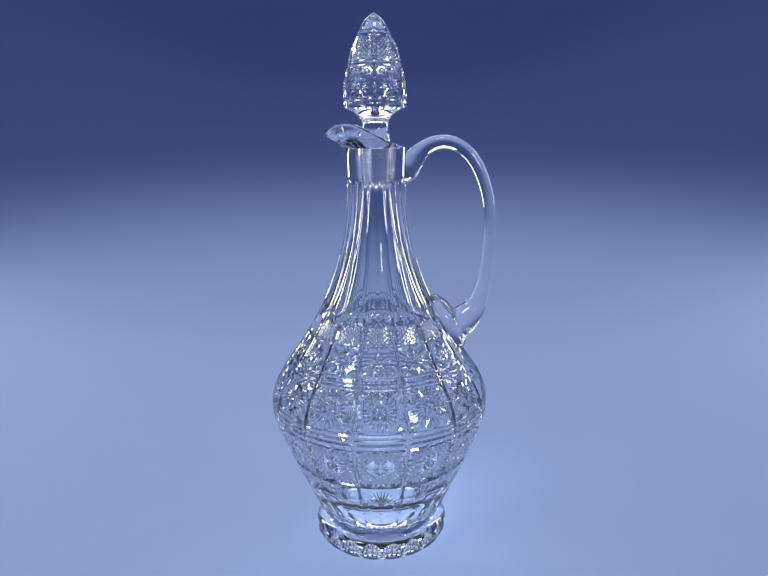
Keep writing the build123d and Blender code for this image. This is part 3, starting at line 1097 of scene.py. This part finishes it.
def crystal_material(name, tint, clear, lamp_pass, ground):
    """Lead crystal: clear with a cool tint, faint drawn waves, a trace of haze, and ground where asked."""
    graph = Graph(name)
    shader = graph.shader
    place = graph.add("ShaderNodeTexCoord", output=3)
    waves = graph.add("ShaderNodeTexNoise", {"noise_dimensions": "3D"},
                      {"Vector": place, "Scale": 42.0, "Detail": 2.0, "Roughness": 0.4})
    haze = graph.add("ShaderNodeTexNoise", {"noise_dimensions": "3D"},
                     {"Vector": place, "Scale": 160.0, "Detail": 4.0, "Roughness": 0.6})
    rough = POLISHED + POLISHED_HAZE * haze ** HAZE_POWER
    if ground:
        x, y, z = graph.axes(place)
        reach = (x * x + y * y) ** 0.5
        seat = (reach < SEAT_REACH * MM) * (z > SEAT_BOTTOM_HEIGHT * MM) * (z < SEAT_TOP_HEIGHT * MM)
        hatch = graph.add("ShaderNodeAttribute", {"attribute_name": "ground"}, output=2)
        rough = rough + hatch * (HATCHED + HATCHED_HAZE * haze) + seat * (SEATED + SEATED_HAZE * haze)
        graph.feed(shader.inputs["Metallic"], hatch * SHIMMER)
    graph.feed(shader.inputs["Base Color"], graph.mix(waves, (*tint, 1.0), (*clear, 1.0)))
    graph.feed(shader.inputs["Roughness"], rough)
    shader.inputs["IOR"].default_value = 1.54
    shader.inputs["Transmission Weight"].default_value = 1.0
    bump = graph.add("ShaderNodeBump", inputs={"Strength": 0.12, "Distance": 0.4 * MM, "Height": waves})
    graph.feed(shader.inputs["Normal"], bump)
    lamp_ray = graph.add("ShaderNodeLightPath", output=1)
    passing = graph.add("ShaderNodeBsdfTransparent", inputs={"Color": (*lamp_pass, 1.0)})
    glass = Wire(graph, shader.outputs[0])
    graph.feed(graph.tree.nodes["Material Output"].inputs["Surface"],
               graph.add("ShaderNodeMixShader", inputs={0: lamp_ray, 1: glass, 2: passing}))
    return graph.material


def sweep_material(floor, backdrop):
    """A plain matt studio sheet: a pale floor that deepens up the backdrop."""
    graph = Graph("studio_sheet")
    height = graph.axes(graph.add("ShaderNodeTexCoord", output=3))[2]
    rise = graph.add("ShaderNodeMapRange", {"interpolation_type": "SMOOTHSTEP"},
                     {"Value": height, "From Min": 0.0, "From Max": 0.24})
    graph.feed(graph.shader.inputs["Base Color"], graph.mix(rise, (*floor, 1.0), (*backdrop, 1.0)))
    graph.shader.inputs["Roughness"].default_value = 0.75
    return graph.material


def dress(piece, material):
    """Gives a piece its one material."""
    piece.data.materials.clear()
    piece.data.materials.append(material)


# Camera, its place in millimetres and its angles in degrees
CAMERA_PLACE = (0.0, -409.4, 274.5)
CAMERA_PITCH = 14.03
CAMERA_YAW = 0.56
CAMERA_ROLL = -0.77
CAMERA_LENS = 30.28
CAMERA_SENSOR = 36.0
CAMERA_CLIP = 0.01

# Studio, in metres, each lamp as name, place, height aimed at, size, and the setting and share of its power
LAMPS = (
    ("key_lamp", (-0.55, -0.50, 0.95), 0.15, (0.18, 0.24), "key", 1.0),
    ("front_lamp", (0.50, -0.75, 0.42), 0.10, (0.10, 0.14), "key", 0.3),
    ("top_lamp", (0.05, -0.28, 1.05), 0.15, (0.20, 0.12), "key", 0.35),
    ("left_rim_lamp", (-0.66, 0.42, 0.48), 0.15, (0.06, 0.6), "rim", 1.0),
    ("right_rim_lamp", (0.66, 0.42, 0.48), 0.15, (0.06, 0.6), "rim", 1.0),
    ("back_lamp", (0.0, 0.78, 0.78), 0.12, (0.8, 0.25), "key", 0.7),
)
SURROUND_COLOUR = (0.62, 0.75, 1.0)
SWEEP_FLOOR = 0.62
SWEEP_FOLD = 0.50
SWEEP_HEIGHT = 1.3
SWEEP_SIDES = 96
SWEEP_TURN = 6
SWEEP_CREASE = math.radians(60)
FLOOR_REACH = SWEEP_FLOOR * 1.001


def build_camera():
    """The camera at the photograph's angle."""
    pitch, yaw, roll = (math.radians(v) for v in (CAMERA_PITCH, CAMERA_YAW, CAMERA_ROLL))
    ahead = Vector((math.sin(yaw) * math.cos(pitch), math.cos(yaw) * math.cos(pitch), -math.sin(pitch)))
    right = Vector((math.cos(yaw), -math.sin(yaw), 0.0))
    up = right.cross(ahead)
    right, up = right * math.cos(roll) + up * math.sin(roll), up * math.cos(roll) - right * math.sin(roll)
    data = bpy.data.cameras.new("photo_camera")
    data.lens = CAMERA_LENS
    data.sensor_width = CAMERA_SENSOR
    data.clip_start = CAMERA_CLIP
    camera = bpy.data.objects.new("photo_camera", data)
    bpy.context.scene.collection.objects.link(camera)
    turn = Matrix((right, up, -ahead)).transposed().to_4x4()
    camera.matrix_world = Matrix.Translation(Vector(CAMERA_PLACE) * MM) @ turn
    bpy.context.scene.camera = camera


def build_lamp(name, place, aim_height, extent, power):
    """A soft white rectangular lamp, turned towards a point on the axis."""
    data = bpy.data.lights.new(name, "AREA")
    data.shape = "RECTANGLE"
    data.size, data.size_y = extent
    data.energy = power
    lamp = bpy.data.objects.new(name, data)
    bpy.context.scene.collection.objects.link(lamp)
    lamp.visible_camera = False
    lamp.location = place
    aim = Vector((0, 0, aim_height))
    lamp.rotation_euler = (aim - Vector(place)).to_track_quat("-Z", "Y").to_euler()


def build_sweep(floor, backdrop):
    """The floor and backdrop, one round sheet that folds up softly on all sides."""
    bpy.ops.object.select_all(action="DESELECT")
    bpy.ops.mesh.primitive_circle_add(
        vertices=SWEEP_SIDES, radius=SWEEP_FLOOR, fill_type="NOTHING", location=(0, 0, 0))
    sweep = bpy.context.active_object
    sweep.name = "studio_sweep"
    bpy.ops.object.mode_set(mode="EDIT")
    bpy.ops.mesh.select_mode(type="EDGE")
    bpy.ops.mesh.select_all(action="SELECT")
    turns = [math.radians(a) for a in range(SWEEP_TURN, 91, SWEEP_TURN)]
    fold = [(SWEEP_FLOOR + SWEEP_FOLD * math.sin(a), SWEEP_FOLD * (1 - math.cos(a))) for a in turns]
    radius, height = SWEEP_FLOOR, 0.0
    for next_radius, next_height in (*fold, (SWEEP_FLOOR + SWEEP_FOLD, SWEEP_HEIGHT)):
        bpy.ops.mesh.extrude_edges_move(TRANSFORM_OT_translate={"value": (0, 0, next_height - height)})
        grow = next_radius / radius
        bpy.ops.transform.resize(value=(grow, grow, 1))
        radius, height = next_radius, next_height
    shape = bmesh.from_edit_mesh(sweep.data)
    for edge in shape.edges:
        edge.select_set(all(v.co.xy.length < FLOOR_REACH for v in edge.verts))
    bmesh.update_edit_mesh(sweep.data)
    bpy.ops.mesh.edge_face_add()
    bpy.ops.mesh.select_all(action="SELECT")
    bpy.ops.mesh.normals_make_consistent(inside=True)
    bpy.ops.object.mode_set(mode="OBJECT")
    finish_shading(sweep, SWEEP_CREASE)
    dress(sweep, sweep_material(floor, backdrop))


def build_world(colour, strength):
    """A plain cool studio surround."""
    world = bpy.data.worlds.new("studio_surround")
    bpy.context.scene.world = world
    world.use_nodes = True
    background = world.node_tree.nodes["Background"]
    background.inputs["Color"].default_value = (*colour, 1.0)
    background.inputs["Strength"].default_value = strength


# Add-on

class DecanterSettings(bpy.types.PropertyGroup):
    """Sizes, colours and lamp levels that a user would change."""

    hatch_pitch: FloatProperty(name="Hatch pitch", description="Distance between the crossing lines of hatch",
                               default=HATCH_PITCH * MM, min=0.001, max=0.004, unit="LENGTH")
    hatch_depth: FloatProperty(name="Hatch depth", description="Depth of the bowl's hatch",
                               default=HATCH_DEPTH * MM, min=0.0002, max=0.002, unit="LENGTH")
    star_depth: FloatProperty(name="Star depth", description="Depth of the rays of stars, buttons and fans",
                              default=STAR_DEPTH * MM, min=0.0002, max=0.002, unit="LENGTH")
    window_depth: FloatProperty(name="Window depth", description="Depth of the windows round the foot's rim",
                                default=WINDOW_DEPTH * MM, min=0.0005, max=0.003, unit="LENGTH")
    pad_width: FloatProperty(name="Pad width", description="Width of the handle's pad on the shoulder",
                             default=PAD_WIDTH * MM, min=0.012, max=0.03, unit="LENGTH")

    tint: FloatVectorProperty(name="Crystal tint", description="Colour of the crystal where it is deepest",
                              subtype="COLOR", default=(0.94, 0.968, 1.0), min=0.0, max=1.0)
    clear: FloatVectorProperty(name="Crystal clear", description="Colour of the crystal where it is clearest",
                               subtype="COLOR", default=(0.985, 0.992, 1.0), min=0.0, max=1.0)
    floor: FloatVectorProperty(name="Studio floor", description="Colour of the floor",
                               subtype="COLOR", default=(0.27, 0.34, 0.54), min=0.0, max=1.0)
    backdrop: FloatVectorProperty(name="Backdrop", description="Colour of the backdrop above the floor",
                                  subtype="COLOR", default=(0.055, 0.085, 0.24), min=0.0, max=1.0)
    key: FloatProperty(name="Key lamp", description="Power of the main lamp",
                       default=3.3, min=0.0, unit="POWER")
    rim: FloatProperty(name="Rim lamp", description="Power of each lamp behind",
                       default=1.5, min=0.0, unit="POWER")
    surround: FloatProperty(name="Surround", description="Strength of the studio's surround",
                            default=0.8, min=0.0)


def crystal(name, ground=False):
    """One of the decanter's crystal finishes, made when it is first asked for."""
    found = bpy.data.materials.get(name)
    chosen = decanter_settings()
    lamp_pass = CUT_LAMP_PASS if ground else CLEAR_LAMP_PASS
    return found or crystal_material(name, chosen.tint, chosen.clear, lamp_pass, ground)


class DECANTER_OT_vessel(bpy.types.Operator):
    """Build the cut vessel"""

    bl_idname = "decanter.vessel"
    bl_label = "Cut vessel"

    def execute(self, context):
        dress(build_vessel(), crystal("wheel_cut_lead_glass", True))
        return {"FINISHED"}


class DECANTER_OT_foot(bpy.types.Operator):
    """Build the applied foot"""

    bl_idname = "decanter.foot"
    bl_label = "Applied foot"

    def execute(self, context):
        dress(build_foot(), crystal("fire_polished_lead_glass"))
        return {"FINISHED"}


class DECANTER_OT_handle(bpy.types.Operator):
    """Build the applied handle"""

    bl_idname = "decanter.handle"
    bl_label = "Loop handle"

    def execute(self, context):
        dress(build_handle(), crystal("fire_polished_lead_glass"))
        return {"FINISHED"}


class DECANTER_OT_stopper(bpy.types.Operator):
    """Build the ground stopper"""

    bl_idname = "decanter.stopper"
    bl_label = "Ground stopper"

    def execute(self, context):
        dress(build_stopper(), crystal("wheel_cut_lead_glass", True))
        return {"FINISHED"}


class DECANTER_OT_stage(bpy.types.Operator):
    """Build the studio floor, backdrop, lamps and camera"""

    bl_idname = "decanter.stage"
    bl_label = "Studio stage"

    def execute(self, context):
        chosen = decanter_settings()
        build_sweep(chosen.floor, chosen.backdrop)
        build_world(SURROUND_COLOUR, chosen.surround)
        for name, place, aim_height, extent, level, share in LAMPS:
            build_lamp(name, place, aim_height, extent, getattr(chosen, level) * share)
        build_camera()
        bpy.context.scene.view_settings.view_transform = "Standard"
        return {"FINISHED"}


class DECANTER_PT_panel(bpy.types.Panel):
    """The decanter's panel in the sidebar."""

    bl_label = "Decanter"
    bl_idname = "DECANTER_PT_panel"
    bl_space_type = "VIEW_3D"
    bl_region_type = "UI"
    bl_category = "Decanter"

    def draw(self, context):
        for name in DecanterSettings.__annotations__:
            self.layout.prop(context.scene.decanter, name)
        for operator in OPERATORS:
            self.layout.operator(operator.bl_idname)


OPERATORS = (DECANTER_OT_vessel, DECANTER_OT_foot, DECANTER_OT_handle, DECANTER_OT_stopper, DECANTER_OT_stage)
CLASSES = (DecanterSettings, *OPERATORS, DECANTER_PT_panel)


def register():
    """Adds the classes and the scene's settings."""
    for item in CLASSES:
        bpy.utils.register_class(item)
    bpy.types.Scene.decanter = PointerProperty(type=DecanterSettings)


def unregister():
    """Takes the settings and the classes away again."""
    del bpy.types.Scene.decanter
    for item in reversed(CLASSES):
        bpy.utils.unregister_class(item)


def main():
    """Builds the decanter and its stage."""
    register()
    bpy.ops.decanter.vessel()
    bpy.ops.decanter.foot()
    bpy.ops.decanter.handle()
    bpy.ops.decanter.stopper()
    bpy.ops.decanter.stage()


if __name__ == "__main__":
    main()
